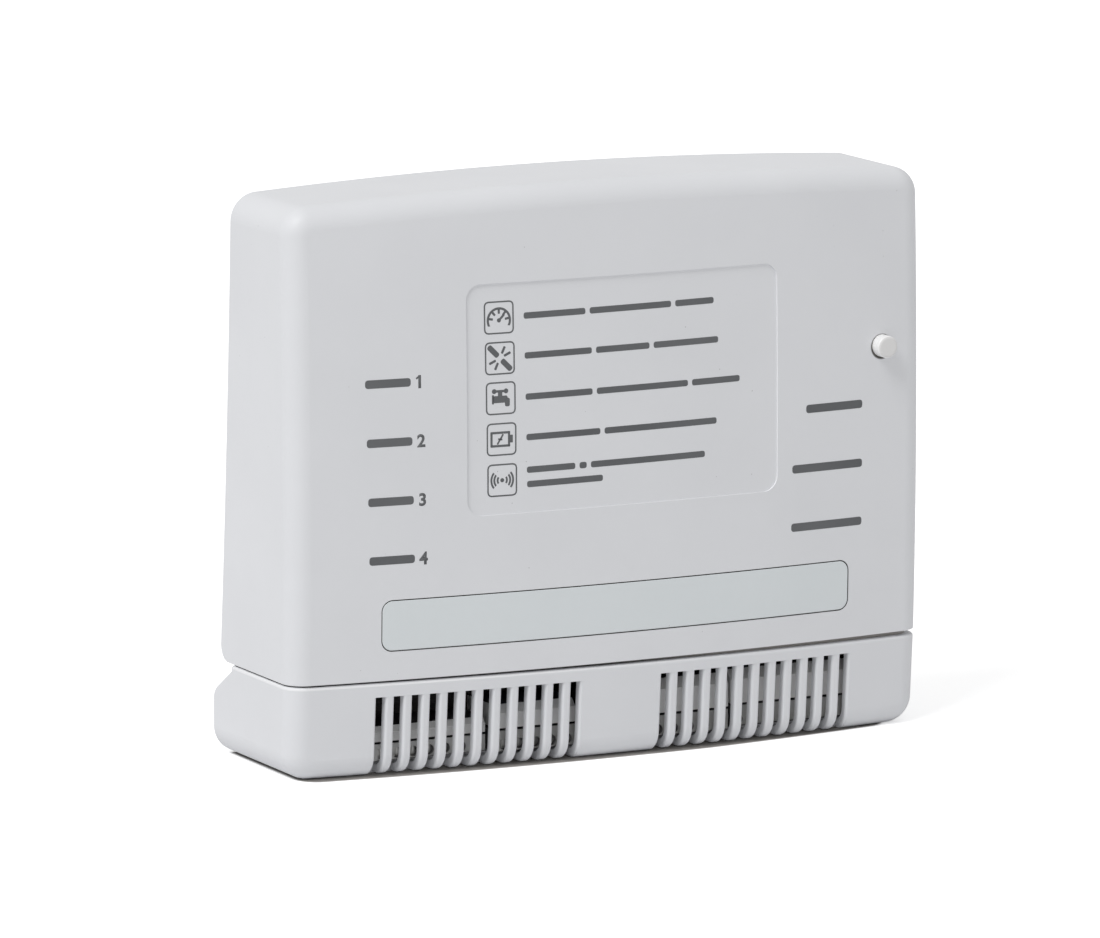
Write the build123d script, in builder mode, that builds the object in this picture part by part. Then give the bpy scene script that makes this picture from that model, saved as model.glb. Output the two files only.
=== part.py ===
from build123d import *
from math import cos, radians, sin, sqrt, tan
import os

os.makedirs("parts", exist_ok=True)

# A wall-mounted leak detection controller, in millimetres.
# The front looks towards -Y, the wall is at +Y, and the case stands on its flat underside at Z = 0.

# Case
case_width = 200.6
case_height = 165.4
case_depth = 59.5
bow_radius = 765
bow_turn = 15
crown_radius = 1600
crown_z = 85
arch_radius = 1500
top_corner_radius = 8
edge_radius = 6.5
cover_wall = 2.4
overrun = 20
fit_gap = 0.3

# Parting gap between the cover and the base, and the cover's rear rim
parting_z = 27.8
gap_left = 0.45
gap_right = 1.4
rim_offset_top = 13.5
rim_offset_low = 4.6
rim_sagitta = 0.9
rim_corner_radius = 4.5
rim_edge_round = 0.3

# Base and rear pan, one moulding
base_wall = 3
base_draft = 4.5
base_corner_radius = 8
base_lip_round = 0.8
back_wall = 2.5
pan_inset = 8
pan_corner_radius = 6
notch_depth = 12.4
notch_step = 2.1
notch_height = 7.6
notch_round = 5
flange_wall = 2.5
shelf_rise = 6.5
tongue_wall = 1.6
tongue_height = 2.4
tongue_root = 2.6

# Ventilation slots
slot_count = 12
slot_pitch = 5.4
slot_width = 2.7
slot_drop = 4.6
slot_reach = 14
slot_centre_x = 0.4
slot_bare_width = 26
bar_round = 0.8
bar_sink = 0.1
bar_depth = 2.5
jamb_width = 1.3
bar_overlap = 2

# Label recess and name plate
label_width = 98.5
label_height = 65.6
label_x = 1.1
label_z = 105.9
label_corner_radius = 4.5
label_depth = 0.5
plate_width = 148
plate_height = 14.2
plate_x = 0.6
plate_z = 43.5
plate_corner_radius = 3
plate_thickness = 1.2
plate_gap = 0.3
plate_round = 0.25
glue_gap = 0.05

# Push button and its switch
button_inset = 14.6
button_z = 112.1
button_radius = 3.2
button_proud = 4.2
button_round = 0.9
button_travel = 0.5
button_play = 0.05
button_flange_radius = 4.6
button_flange = 1
guide_radius = 5.3
guide_length = 5
stop_gap = 0.1
switch_size = 6
switch_height = 3.5
plunger_radius = 1.65
plunger_reach = 10.5
plunger_seat = 1.6

# Indicators behind the thin front
led_inset = 13
led_radius = 1.5
led_height = 5.3
led_rim_radius = 1.9
led_rim = 1
led_skin = 0.9
led_well_radius = 2.1
shroud_radius = 3.6
shroud_wall = 0.8
shroud_length = 4
spacer_radius = 2.5
zone_led_z = 112.5
zone_pitch = 16.6
zone_count = 4
status_led_z = 95.8
status_pitch = 17
status_count = 3

# Main board on its pillars
board_y = -3
board_thickness = 1.6
board_inset = 9
board_low_z = 5
board_high_z = 148
pillar_radius = 4
pillar_bore = 1.25
pillar_bore_depth = 10
pillar_inset = 18
pillar_low_z = 26
pillar_rows = 3
pillar_row_pitch = 57
board_hole_radius = 1.7
board_screw_radius = 1.15
board_screw_head_radius = 2.7
board_screw_head = 1.8
board_screw_length = 8

# Terminal blocks along the board's lower edge
terminal_pitch = 5
terminal_low_z = 3.5
terminal_gap = 1.2
terminal_foot = 0.55
terminal_screw_z = 5.6
terminal_screw_radius = 1.4
terminal_hole_radius = 1.5
terminal_hole_depth = 3
terminal_seam = 0.7
terminal_seam_depth = 2.5
wire_mouth = 3
wire_mouth_depth = 1.5
zone_block_x = -78
zone_block_poles = 8
zone_block_top = 13.4
low_block_seam_z = 8.8
valve_block_x = -36
valve_block_poles = 5
valve_block_top = 17
alarm_block_x = 8
alarm_block_poles = 6
mains_block_x = 40.5
mains_block_poles = 8
tall_block_top = 20
tall_block_seam_z = 10

# Mounting and cable entry in the rear housing
keyhole_spacing = 120
keyhole_z = 130
keyhole_radius = 4.25
keyhole_slot_radius = 2.25
keyhole_slot = 7
fixing_spacing = 120
fixing_z = 40
fixing_radius = 2.25
window_width = 60
window_height = 14
window_z = 52
entry_count = 5
entry_pitch = 30
entry_radius = 3.8
entry_y = 14

# Values that follow from the ones above
front_y = -case_depth / 2
wall_y = case_depth / 2
half_width = case_width / 2
bow_axis_y = front_y + bow_radius
button_x = half_width - button_inset
led_x = half_width - led_inset
pillar_x = half_width - pillar_inset
board_half_width = half_width - board_inset
slot_top_z = parting_z - slot_drop
board_back_y = board_y + board_thickness
rim_top_y = wall_y - rim_offset_top
rim_low_y = wall_y - rim_offset_low
notch_y = wall_y - notch_depth
pan_half_width = half_width - pan_inset
pan_top_z = case_height - pan_inset
pan_inner_y = wall_y - back_wall
flange_inset = cover_wall + fit_gap


def crown_drop(z):
    """How far the front face falls back at height z, on the centre line."""
    return crown_radius - sqrt(crown_radius**2 - (z - crown_z) ** 2)


def front_at(x, z):
    """Y of the cover's front face."""
    reach = bow_radius - crown_drop(z)
    return bow_axis_y - sqrt(reach**2 - x**2)


def bow_plane():
    """Plane through the bow's upright axis, turned to the left end of the front face."""
    turn = bow_turn
    outward = (-sin(radians(turn)), -cos(radians(turn)), 0)
    normal = (-cos(radians(turn)), sin(radians(turn)), 0)
    return Plane(origin=(0, bow_axis_y, 0), x_dir=outward, z_dir=normal), 2 * turn


def case_form(inset):
    """The closed case's bowed, crowned and arched form, moved inwards by inset all round."""
    half = half_width - inset
    top = case_height - inset
    arch = arch_radius - inset
    shoulder = top - arch + sqrt(arch**2 - half**2)
    crown = crown_radius - inset
    reach = bow_radius - inset
    low = -overrun
    high = case_height + overrun
    low_reach = reach - crown + sqrt(crown**2 - (low - crown_z) ** 2)
    high_reach = reach - crown + sqrt(crown**2 - (high - crown_z) ** 2)
    back_reach = bow_radius - case_depth - overrun
    plane, sweep_angle = bow_plane()
    with BuildPart() as form:
        with BuildSketch(Plane.XZ.offset(-wall_y)) as outline:
            with BuildLine():
                Polyline((-half, shoulder), (-half, 0), (half, 0), (half, shoulder))
                ThreePointArc((half, shoulder), (0, top), (-half, shoulder))
            make_face()
            fillet(outline.vertices().group_by(Axis.Y)[-1], radius=top_corner_radius - inset)
        extrude(amount=case_depth + overrun)
        with BuildSketch(plane):
            with BuildLine():
                ThreePointArc((low_reach, low), (reach, crown_z), (high_reach, high))
                Polyline(
                    (high_reach, high),
                    (back_reach, high),
                    (back_reach, low),
                    (low_reach, low),
                )
            make_face()
        revolve(
            axis=Axis((0, bow_axis_y, 0), (0, 0, 1)),
            revolution_arc=sweep_angle,
            mode=Mode.INTERSECT,
        )
        front_loop = form.faces().sort_by(Axis.Y)[0].edges().sort_by(Axis.Z)[1:]
        fillet(front_loop, radius=edge_radius - inset)
    return form.part


def base_form(inset, back_inset):
    """The base's lower form with its front leaning back towards the underside."""
    half = half_width - inset
    reach = bow_radius - inset
    top_reach = reach - crown_drop(parting_z)
    lean = tan(radians(base_draft))
    low = -overrun
    high = parting_z + overrun
    low_reach = top_reach - (parting_z - low) * lean
    high_reach = top_reach + (high - parting_z) * lean
    back_reach = bow_radius - case_depth - overrun
    plane, sweep_angle = bow_plane()
    with BuildPart() as form:
        with BuildSketch(Plane.XZ.offset(back_inset - wall_y)) as outline:
            with Locations((0, (inset + high) / 2)):
                Rectangle(2 * half, high - inset)
            fillet(outline.vertices().group_by(Axis.Y)[0], radius=base_corner_radius - inset)
        extrude(amount=case_depth + overrun)
        with BuildSketch(plane):
            with BuildLine():
                Polyline(
                    (low_reach, low),
                    (high_reach, high),
                    (back_reach, high),
                    (back_reach, low),
                    close=True,
                )
            make_face()
        revolve(
            axis=Axis((0, bow_axis_y, 0), (0, 0, 1)),
            revolution_arc=sweep_angle,
            mode=Mode.INTERSECT,
        )
        front_loop = form.faces().sort_by(Axis.Y)[0].edges().sort_by(Axis.Z)[:-1]
        fillet(front_loop, radius=edge_radius - inset)
    return form.part


def rim_points(shift):
    """Low, middle and high point of the cover's rear rim seen from the side, moved along Y."""
    low = (rim_low_y + shift, parting_z)
    high = (rim_top_y + shift, case_height)
    middle_z = (parting_z + case_height) / 2
    middle = ((rim_low_y + rim_top_y) / 2 - rim_sagitta + shift, middle_z)
    return low, middle, high


def base_front_at(x, z):
    """Y of the base's leaning front."""
    top_reach = bow_radius - crown_drop(parting_z)
    reach = top_reach - (parting_z - z) * tan(radians(base_draft))
    return bow_axis_y - sqrt(reach**2 - x**2)


def vent_bar(left_x, width, rounded):
    """One bar of the grille, swept down the front and round the edge to the underside."""
    middle_x = left_x + width / 2
    high_z = slot_top_z + bar_overlap
    top_point = (middle_x, base_front_at(middle_x, high_z) + bar_sink, high_z)
    corner_point = (middle_x, base_front_at(middle_x, bar_sink) + bar_sink, bar_sink)
    end_point = (middle_x, front_y + slot_reach + bar_overlap, bar_sink)
    down = Vector(*corner_point) - Vector(*top_point)
    with BuildPart() as bar:
        with BuildLine():
            FilletPolyline(top_point, corner_point, end_point, radius=edge_radius)
        with BuildSketch(Plane(origin=top_point, x_dir=(1, 0, 0), z_dir=down)) as section:
            with Locations((0, -bar_depth / 2)):
                Rectangle(width, bar_depth)
            outer_corners = section.vertices().group_by(Axis.Y)[-1].sort_by(Axis.X)
            fillet([c for c, soft in zip(outer_corners, rounded) if soft], radius=bar_round)
        sweep()
    return bar.part


outer_form = case_form(0)
inner_form = case_form(cover_wall)

# Front cover: a thin moulded shell, open at the back and at its lower edge
led_places = []
for row in range(zone_count):
    led_places.append((-led_x, zone_led_z - row * zone_pitch))
for row in range(status_count):
    led_places.append((led_x, status_led_z - row * status_pitch))
plate_tool_y = front_y + overrun
label_form = case_form(label_depth)
pocket_form = case_form(plate_thickness + glue_gap)

with BuildPart() as label_cut:
    with BuildSketch(Plane.XZ.offset(-plate_tool_y)):
        with Locations((label_x, label_z)):
            RectangleRounded(label_width, label_height, label_corner_radius)
    extrude(amount=2 * overrun)
    add(label_form, mode=Mode.SUBTRACT)

with BuildPart() as plate_cut:
    with BuildSketch(Plane.XZ.offset(-plate_tool_y)):
        with Locations((plate_x, plate_z)):
            RectangleRounded(
                plate_width + 2 * plate_gap,
                plate_height + 2 * plate_gap,
                plate_corner_radius + plate_gap,
            )
    extrude(amount=2 * overrun)
    add(pocket_form, mode=Mode.SUBTRACT)

button_face_y = front_at(button_x, button_z)
guide_end_y = button_face_y + guide_length
rim_low, rim_middle, rim_high = rim_points(0)

with BuildPart() as front_cover:
    add(outer_form)
    # side profile that the form is trimmed to: level lower edge, leaning rear rim
    with BuildSketch(Plane.YZ) as side:
        with BuildLine():
            Line((front_y - overrun, parting_z), rim_low)
            ThreePointArc(rim_low, rim_middle, rim_high)
            Polyline(
                rim_high,
                (rim_high[0], case_height + overrun),
                (front_y - overrun, case_height + overrun),
                (front_y - overrun, parting_z),
            )
        make_face()
        fillet(side.vertices().sort_by_distance(rim_low)[0], radius=rim_corner_radius)
    extrude(amount=case_width, both=True, mode=Mode.INTERSECT)
    lower_edges = front_cover.faces().sort_by(Axis.Z)[0].edges().sort_by(Axis.Y)[:-1]
    fillet(lower_edges, radius=rim_edge_round)
    add(inner_form, mode=Mode.SUBTRACT)
    # shallow label recess and the deeper pocket for the name plate
    add(label_cut.part, mode=Mode.SUBTRACT)
    add(plate_cut.part, mode=Mode.SUBTRACT)
    # guide sleeve for the push button
    with BuildSketch(Plane.XZ.offset(-guide_end_y)):
        with Locations((button_x, button_z)):
            Circle(guide_radius)
    extrude(until=Until.NEXT)
    with BuildSketch(Plane.XZ.offset(-guide_end_y)):
        with Locations((button_x, button_z)):
            Circle(button_radius + button_play)
    extrude(amount=overrun, mode=Mode.SUBTRACT)
    # light shrouds round the indicators, with the face thinned in front of each
    for x, z in led_places:
        face_y = front_at(x, z)
        with BuildSketch(Plane.XZ.offset(-face_y - cover_wall - shroud_length)):
            with Locations((x, z)):
                Circle(shroud_radius)
        extrude(until=Until.NEXT)
        with BuildSketch(Plane.XZ.offset(-face_y - cover_wall - shroud_length)):
            with Locations((x, z)):
                Circle(shroud_radius - shroud_wall)
        extrude(amount=shroud_length, mode=Mode.SUBTRACT)
        with BuildSketch(Plane.XZ.offset(-face_y - led_skin)):
            with Locations((x, z)):
                Circle(led_well_radius)
        extrude(amount=-overrun / 2, mode=Mode.SUBTRACT)
front_cover.part.label = "front cover"
export_step(front_cover.part, "parts/front_cover.step")

# Rear housing: vented base, pan behind the board and the flange that closes the cover, one moulding
flange_form = case_form(flange_inset)
tongue_inner = case_form(flange_inset + tongue_wall)
flange_rear = rim_points(-fit_gap)
flange_front = rim_points(-fit_gap - flange_wall)
shelf_z = parting_z + shelf_rise
pan_front_y = flange_front[2][0]
base_cavity_form = base_form(base_wall, back_wall)
deck_z = parting_z - notch_step - base_wall

with BuildPart() as flange_band:
    with BuildSketch(Plane.YZ):
        with BuildLine():
            ThreePointArc(*flange_rear)
            Line(flange_rear[2], flange_front[2])
            ThreePointArc(*flange_front)
            Line(flange_front[0], flange_rear[0])
        make_face()
        with Locations((notch_y, shelf_z - overrun / 2)):
            Rectangle(2 * notch_depth, overrun, mode=Mode.SUBTRACT)
        with Locations((notch_y - flange_wall / 2, (shelf_z + flange_wall + deck_z) / 2)):
            Rectangle(flange_wall, shelf_z + flange_wall - deck_z)
        with Locations(((notch_y + rim_low_y) / 2, shelf_z + flange_wall / 2)):
            Rectangle(rim_low_y - notch_y - 2 * fit_gap, flange_wall)
    extrude(amount=case_width, both=True)
    add(flange_form, mode=Mode.INTERSECT)

with BuildPart() as tongue:
    add(flange_form)
    add(tongue_inner, mode=Mode.SUBTRACT)
    tongue_low_z = parting_z - tongue_root - gap_right
    tongue_high_z = parting_z + tongue_height
    with BuildSketch(Plane.XY.offset(tongue_low_z)):
        with Locations((0, (front_y + notch_y) / 2 - overrun / 2)):
            Rectangle(2 * case_width, notch_y - front_y + overrun)
    extrude(amount=tongue_high_z - tongue_low_z, mode=Mode.INTERSECT)

with BuildPart() as base_cavity:
    add(base_cavity_form)
    with BuildSketch(Plane.YZ):
        with BuildLine():
            Polyline(
                (front_y - overrun, base_wall - overrun),
                (pan_inner_y, base_wall - overrun),
                (pan_inner_y, deck_z - notch_height),
                (notch_y - flange_wall, deck_z),
                (notch_y - flange_wall, parting_z + overrun),
                (front_y - overrun, parting_z + overrun),
                close=True,
            )
        make_face()
    extrude(amount=case_width, both=True, mode=Mode.INTERSECT)

group_width = (slot_count - 1) * slot_pitch + slot_width
group_starts = [
    slot_centre_x - slot_bare_width / 2 - group_width,
    slot_centre_x + slot_bare_width / 2,
]
with BuildPart() as vent_bars:
    for start in group_starts:
        for column in range(1, slot_count):
            bar_x = start + column * slot_pitch - (slot_pitch - slot_width)
            add(vent_bar(bar_x, slot_pitch - slot_width, (True, True)))
        add(vent_bar(start - jamb_width, jamb_width, (False, True)))
        add(vent_bar(start + group_width, jamb_width, (True, False)))
pillar_places = []
for row in range(pillar_rows):
    pillar_places.append((-pillar_x, pillar_low_z + row * pillar_row_pitch))
    pillar_places.append((pillar_x, pillar_low_z + row * pillar_row_pitch))

with BuildPart() as rear_housing:
    add(base_form(0, 0))
    # upper edge of the base: the parting gap widens towards the right
    with BuildSketch(Plane.XZ):
        with BuildLine():
            Polyline(
                (-half_width, parting_z - gap_left),
                (half_width, parting_z - gap_right),
                (half_width, parting_z + 2 * overrun),
                (-half_width, parting_z + 2 * overrun),
                close=True,
            )
        make_face()
    extrude(amount=case_depth, both=True, mode=Mode.SUBTRACT)
    upper_edges = rear_housing.faces().sort_by(Axis.Z)[-1].edges().sort_by(Axis.Y)[:-1]
    fillet(upper_edges, radius=base_lip_round)
    # finger notch at the rear end of the parting line
    with BuildSketch(Plane.YZ) as notch:
        with BuildLine():
            Polyline(
                (notch_y, parting_z + overrun),
                (notch_y, parting_z - notch_step),
                (wall_y, parting_z - notch_step - notch_height),
                (wall_y + overrun, parting_z - notch_step - notch_height),
                (wall_y + overrun, parting_z + overrun),
                close=True,
            )
        make_face()
    extrude(amount=case_width, both=True, mode=Mode.SUBTRACT)
    rear_edges = rear_housing.edges().filter_by(Axis.X).group_by(Axis.Y)[-1]
    fillet(rear_edges.sort_by(Axis.Z)[-1], radius=notch_round)
    # pan that stands back to the wall, and the flange inside the cover's rim
    with BuildSketch(Plane.XZ.offset(-wall_y)):
        with Locations((0, (base_wall + pan_top_z) / 2)):
            RectangleRounded(2 * pan_half_width, pan_top_z - base_wall, pan_corner_radius)
    extrude(amount=wall_y - pan_front_y)
    add(flange_band.part)
    # hollow inside
    add(base_cavity.part, mode=Mode.SUBTRACT)
    pan_space_height = pan_top_z - back_wall - base_wall
    with BuildSketch(Plane.XZ.offset(-pan_inner_y)):
        with Locations((0, base_wall + pan_space_height / 2)):
            RectangleRounded(
                2 * (pan_half_width - back_wall), pan_space_height, pan_corner_radius - back_wall
            )
    extrude(amount=pan_inner_y - pan_front_y + fit_gap, mode=Mode.SUBTRACT)
    add(tongue.part)
    # one window per group of ventilation slots, through the front, the rounded edge and the
    # underside, and the upright bars that divide it
    with BuildSketch(Plane.XY.offset(-overrun)):
        for start in group_starts:
            with Locations((start + group_width / 2, front_y + (slot_reach - overrun) / 2)):
                Rectangle(group_width + jamb_width, slot_reach + overrun)
    extrude(amount=slot_top_z + overrun, mode=Mode.SUBTRACT)
    add(vent_bars.part)
    # pillars for the main board, with a bore for each screw
    with BuildSketch(Plane.XZ.offset(-board_back_y)):
        with Locations(*pillar_places):
            Circle(pillar_radius)
    extrude(amount=board_back_y - pan_inner_y)
    with BuildSketch(Plane.XZ.offset(-board_back_y)):
        with Locations(*pillar_places):
            Circle(pillar_bore)
    extrude(amount=-pillar_bore_depth, mode=Mode.SUBTRACT)
    # keyholes, fixing holes, cable window and cable entries
    with BuildSketch(Plane.XZ.offset(-wall_y)):
        with Locations((-keyhole_spacing / 2, keyhole_z), (keyhole_spacing / 2, keyhole_z)):
            Circle(keyhole_radius)
        with Locations(
            (-keyhole_spacing / 2, keyhole_z + keyhole_slot / 2),
            (keyhole_spacing / 2, keyhole_z + keyhole_slot / 2),
        ):
            SlotCenterToCenter(keyhole_slot, 2 * keyhole_slot_radius, rotation=90)
        with Locations((-fixing_spacing / 2, fixing_z), (fixing_spacing / 2, fixing_z)):
            Circle(fixing_radius)
        with Locations((0, window_z)):
            RectangleRounded(window_width, window_height, window_height / 4)
    extrude(amount=2 * back_wall, mode=Mode.SUBTRACT)
    with BuildSketch(Plane.XY):
        with Locations((0, entry_y)):
            with GridLocations(entry_pitch, entry_pitch, entry_count, 1):
                Circle(entry_radius)
    extrude(amount=2 * base_wall, mode=Mode.SUBTRACT)
rear_housing.part.label = "rear housing"
export_step(rear_housing.part, "parts/rear_housing.step")

# Name plate: long glossy inlay, flush with the face in its pocket and left bare
plate_floor_form = case_form(plate_thickness)
with BuildPart() as name_plate:
    with BuildSketch(Plane.XZ.offset(-plate_tool_y)):
        with Locations((plate_x, plate_z)):
            RectangleRounded(plate_width, plate_height, plate_corner_radius)
    extrude(amount=2 * overrun)
    add(outer_form, mode=Mode.INTERSECT)
    fillet(name_plate.faces().sort_by(Axis.Y)[0].edges(), radius=plate_round)
    add(plate_floor_form, mode=Mode.SUBTRACT)
name_plate.part.label = "name plate"
export_step(name_plate.part, "parts/name_plate.step")

# Push button: rounded cap, flange behind the guide sleeve and a stem to the switch
cap_y = button_face_y - button_proud
flange_y = guide_end_y + stop_gap
plunger_tip_y = board_y - plunger_reach
with BuildPart() as push_button:
    with BuildSketch(Plane.XZ.offset(-flange_y)):
        with Locations((button_x, button_z)):
            Circle(button_radius)
    extrude(amount=flange_y - cap_y)
    fillet(push_button.faces().sort_by(Axis.Y)[0].edges(), radius=button_round)
    with BuildSketch(Plane.XZ.offset(-flange_y)):
        with Locations((button_x, button_z)):
            Circle(button_flange_radius)
    extrude(amount=-button_flange)
    with BuildSketch(Plane.XZ.offset(-flange_y)):
        with Locations((button_x, button_z)):
            Circle(plunger_radius + button_round)
    extrude(amount=flange_y - plunger_tip_y)
push_button.part.label = "push button"
export_step(push_button.part, "parts/push_button.step")

# Tact switch soldered on the board, and the plunger that slides in it
plunger_end_y = board_y - switch_height + plunger_seat
with BuildPart() as switch_body:
    with BuildSketch(Plane.XZ.offset(-board_y)):
        with Locations((button_x, button_z)):
            Rectangle(switch_size, switch_size)
    extrude(amount=switch_height)
    chamfer(switch_body.edges().filter_by(Axis.Y), length=switch_size / 12)
    with BuildSketch(Plane.XZ.offset(-board_y + switch_height)):
        with Locations((button_x, button_z)):
            Circle(plunger_radius + button_play)
    extrude(amount=-plunger_seat - 2 * button_travel, mode=Mode.SUBTRACT)
switch_body.part.label = "switch body"
export_step(switch_body.part, "parts/switch_body.step")

with BuildPart() as switch_plunger:
    with BuildSketch(Plane.XZ.offset(-plunger_end_y)):
        with Locations((button_x, button_z)):
            Circle(plunger_radius)
    extrude(amount=plunger_end_y - plunger_tip_y)
switch_plunger.part.label = "switch plunger"
export_step(switch_plunger.part, "parts/switch_plunger.step")

# Indicator lamps on spacer tubes, close behind the thinned face
def led_tip(x, z):
    """Y of a lamp's tip, a fit gap behind the thinned face."""
    return front_at(x, z) + led_skin + fit_gap


def led_group(places):
    """Lamps with a domed end and a rim at the foot."""
    with BuildPart() as lamps:
        for x, z in places:
            tip_y = led_tip(x, z)
            foot_y = tip_y + led_height
            lamp_axis = Axis((x, foot_y, z), (0, -1, 0))
            profile = Plane(origin=(x, foot_y, z), x_dir=(1, 0, 0), z_dir=(0, 0, 1))
            with BuildSketch(profile):
                with BuildLine():
                    dome_start = -led_height + led_radius
                    Polyline(
                        (0, 0),
                        (led_rim_radius, 0),
                        (led_rim_radius, -led_rim),
                        (led_radius, -led_rim),
                        (led_radius, dome_start),
                    )
                    RadiusArc((led_radius, dome_start), (0, -led_height), led_radius)
                    Line((0, -led_height), (0, 0))
                make_face()
            revolve(axis=lamp_axis)
    return lamps.part


def spacer_group(places):
    """Tubes that carry the lamps on the board."""
    with BuildPart() as tubes:
        for x, z in places:
            foot_y = led_tip(x, z) + led_height
            with BuildSketch(Plane.XZ.offset(-board_y)):
                with Locations((x, z)):
                    Circle(spacer_radius)
                    Circle(spacer_radius / 2, mode=Mode.SUBTRACT)
            extrude(amount=board_y - foot_y)
    return tubes.part


zone_leds = led_group(led_places[:zone_count])
zone_leds.label = "zone indicator lamps"
export_step(zone_leds, "parts/zone_leds.step")
status_leds = led_group(led_places[zone_count:])
status_leds.label = "status indicator lamps"
export_step(status_leds, "parts/status_leds.step")
led_spacers = spacer_group(led_places)
led_spacers.label = "lamp spacers"
export_step(led_spacers, "parts/led_spacers.step")

# Main board and the screws that hold it to the pillars
board_middle_z = (board_low_z + board_high_z) / 2
with BuildPart() as main_board:
    with BuildSketch(Plane.XZ.offset(-board_back_y)):
        with Locations((0, board_middle_z)):
            RectangleRounded(2 * board_half_width, board_high_z - board_low_z, board_thickness)
        with Locations(*pillar_places):
            Circle(board_hole_radius, mode=Mode.SUBTRACT)
    extrude(amount=board_thickness)
main_board.part.label = "main board"
export_step(main_board.part, "parts/main_board.step")

with BuildPart() as board_screws:
    with BuildSketch(Plane.XZ.offset(-board_y)):
        with Locations(*pillar_places):
            Circle(board_screw_head_radius)
    extrude(amount=board_screw_head)
    chamfer(board_screws.faces().group_by(Axis.Y)[0].edges(), length=board_screw_head / 3)
    with BuildSketch(Plane.XZ.offset(-board_y)):
        with Locations(*pillar_places):
            Circle(board_screw_radius)
    extrude(amount=-board_screw_length)
board_screws.part.label = "board screws"
export_step(board_screws.part, "parts/board_screws.step")


# Terminal blocks: moulded rows with a wire mouth below and a screw hole in front of each pole
def pole_places(left_x, poles):
    """X of the middle of each pole."""
    return [left_x + (pole + 1 / 2) * terminal_pitch for pole in range(poles)]


def terminal_front(left_x, poles):
    """Y of a row's front, just behind the base's wall at its outer end."""
    far_x = max(abs(left_x), abs(left_x + poles * terminal_pitch))
    return base_front_at(far_x, terminal_low_z) + base_wall + terminal_gap


def terminal_block(left_x, poles, top_z, seam_z):
    """One row of poles from left_x, as high as top_z, with a seam along its front."""
    terminal_front_y = terminal_front(left_x, poles)
    bevel = (top_z - terminal_low_z) / 6
    mouth_y = (terminal_front_y + board_y) / 2
    with BuildPart() as block:
        with BuildSketch(Plane.YZ.offset(left_x)):
            with BuildLine():
                Polyline(
                    (board_y, terminal_low_z),
                    (terminal_front_y + terminal_foot, terminal_low_z),
                    (terminal_front_y, terminal_low_z + terminal_foot),
                    (terminal_front_y, top_z - bevel),
                    (terminal_front_y + bevel, top_z),
                    (board_y, top_z),
                    close=True,
                )
            make_face()
            with Locations((terminal_front_y, seam_z)):
                Rectangle(2 * terminal_seam_depth, terminal_seam, mode=Mode.SUBTRACT)
        extrude(amount=poles * terminal_pitch)
        for x in pole_places(left_x, poles):
            with BuildSketch(Plane.XZ.offset(-terminal_front_y)):
                with Locations((x, terminal_screw_z)):
                    Circle(terminal_hole_radius)
            extrude(amount=-terminal_hole_depth, mode=Mode.SUBTRACT)
            with BuildSketch(Plane.XY.offset(terminal_low_z)):
                with Locations((x, mouth_y + wire_mouth)):
                    Rectangle(wire_mouth, wire_mouth)
            extrude(amount=wire_mouth_depth, mode=Mode.SUBTRACT)
    return block.part


zone_terminals = terminal_block(
    zone_block_x, zone_block_poles, zone_block_top, low_block_seam_z
)
zone_terminals.label = "zone sensor terminals"
export_step(zone_terminals, "parts/zone_terminals.step")
valve_terminals = terminal_block(
    valve_block_x, valve_block_poles, valve_block_top, tall_block_seam_z
)
valve_terminals.label = "valve terminals"
export_step(valve_terminals, "parts/valve_terminals.step")
alarm_terminals = terminal_block(
    alarm_block_x, alarm_block_poles, tall_block_top, tall_block_seam_z
)
alarm_terminals.label = "alarm output terminals"
export_step(alarm_terminals, "parts/alarm_terminals.step")
mains_terminals = terminal_block(
    mains_block_x, mains_block_poles, tall_block_top, tall_block_seam_z
)
mains_terminals.label = "mains terminals"
export_step(mains_terminals, "parts/mains_terminals.step")

terminal_rows = [
    (zone_block_x, zone_block_poles),
    (valve_block_x, valve_block_poles),
    (alarm_block_x, alarm_block_poles),
    (mains_block_x, mains_block_poles),
]
screw_slot = terminal_screw_radius / 3
with BuildPart() as terminal_screws:
    for left_x, poles in terminal_rows:
        screw_y = terminal_front(left_x, poles) + terminal_hole_depth
        for x in pole_places(left_x, poles):
            with BuildSketch(Plane.XZ.offset(-screw_y)):
                with Locations((x, terminal_screw_z)):
                    Circle(terminal_screw_radius)
            extrude(amount=terminal_hole_depth / 2)
            with BuildSketch(Plane.XZ.offset(-screw_y + terminal_hole_depth / 2)):
                with Locations((x, terminal_screw_z)):
                    Rectangle(screw_slot, 2 * terminal_screw_radius)
            extrude(amount=-screw_slot, mode=Mode.SUBTRACT)
terminal_screws.part.label = "terminal screws"
export_step(terminal_screws.part, "parts/terminal_screws.step")

# Valve relays: two sealed boxes beside the valve terminals
relay_width = 15.5
relay_length = 19
relay_height = 15.2
relay_x = -25
relay_pitch = 20
relay_z = 35
with BuildPart() as valve_relays:
    with BuildSketch(Plane.XZ.offset(-board_y)):
        with Locations((relay_x, relay_z), (relay_x + relay_pitch, relay_z)):
            Rectangle(relay_width, relay_length)
    extrude(amount=relay_height)
    chamfer(valve_relays.faces().group_by(Axis.Y)[0].edges(), length=relay_height / 20)
valve_relays.part.label = "valve relays"
export_step(valve_relays.part, "parts/valve_relays.step")

# Power module: a potted mains supply
module_width = 48
module_length = 28
module_height = 15
module_x = 45
module_z = 75
with BuildPart() as power_module:
    with BuildSketch(Plane.XZ.offset(-board_y)):
        with Locations((module_x, module_z)):
            Rectangle(module_width, module_length)
    extrude(amount=module_height)
    fillet(power_module.edges().filter_by(Axis.Y), radius=module_height / 12)
    chamfer(power_module.faces().sort_by(Axis.Y)[0].edges(), length=module_height / 20)
power_module.part.label = "power module"
export_step(power_module.part, "parts/power_module.step")

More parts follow.
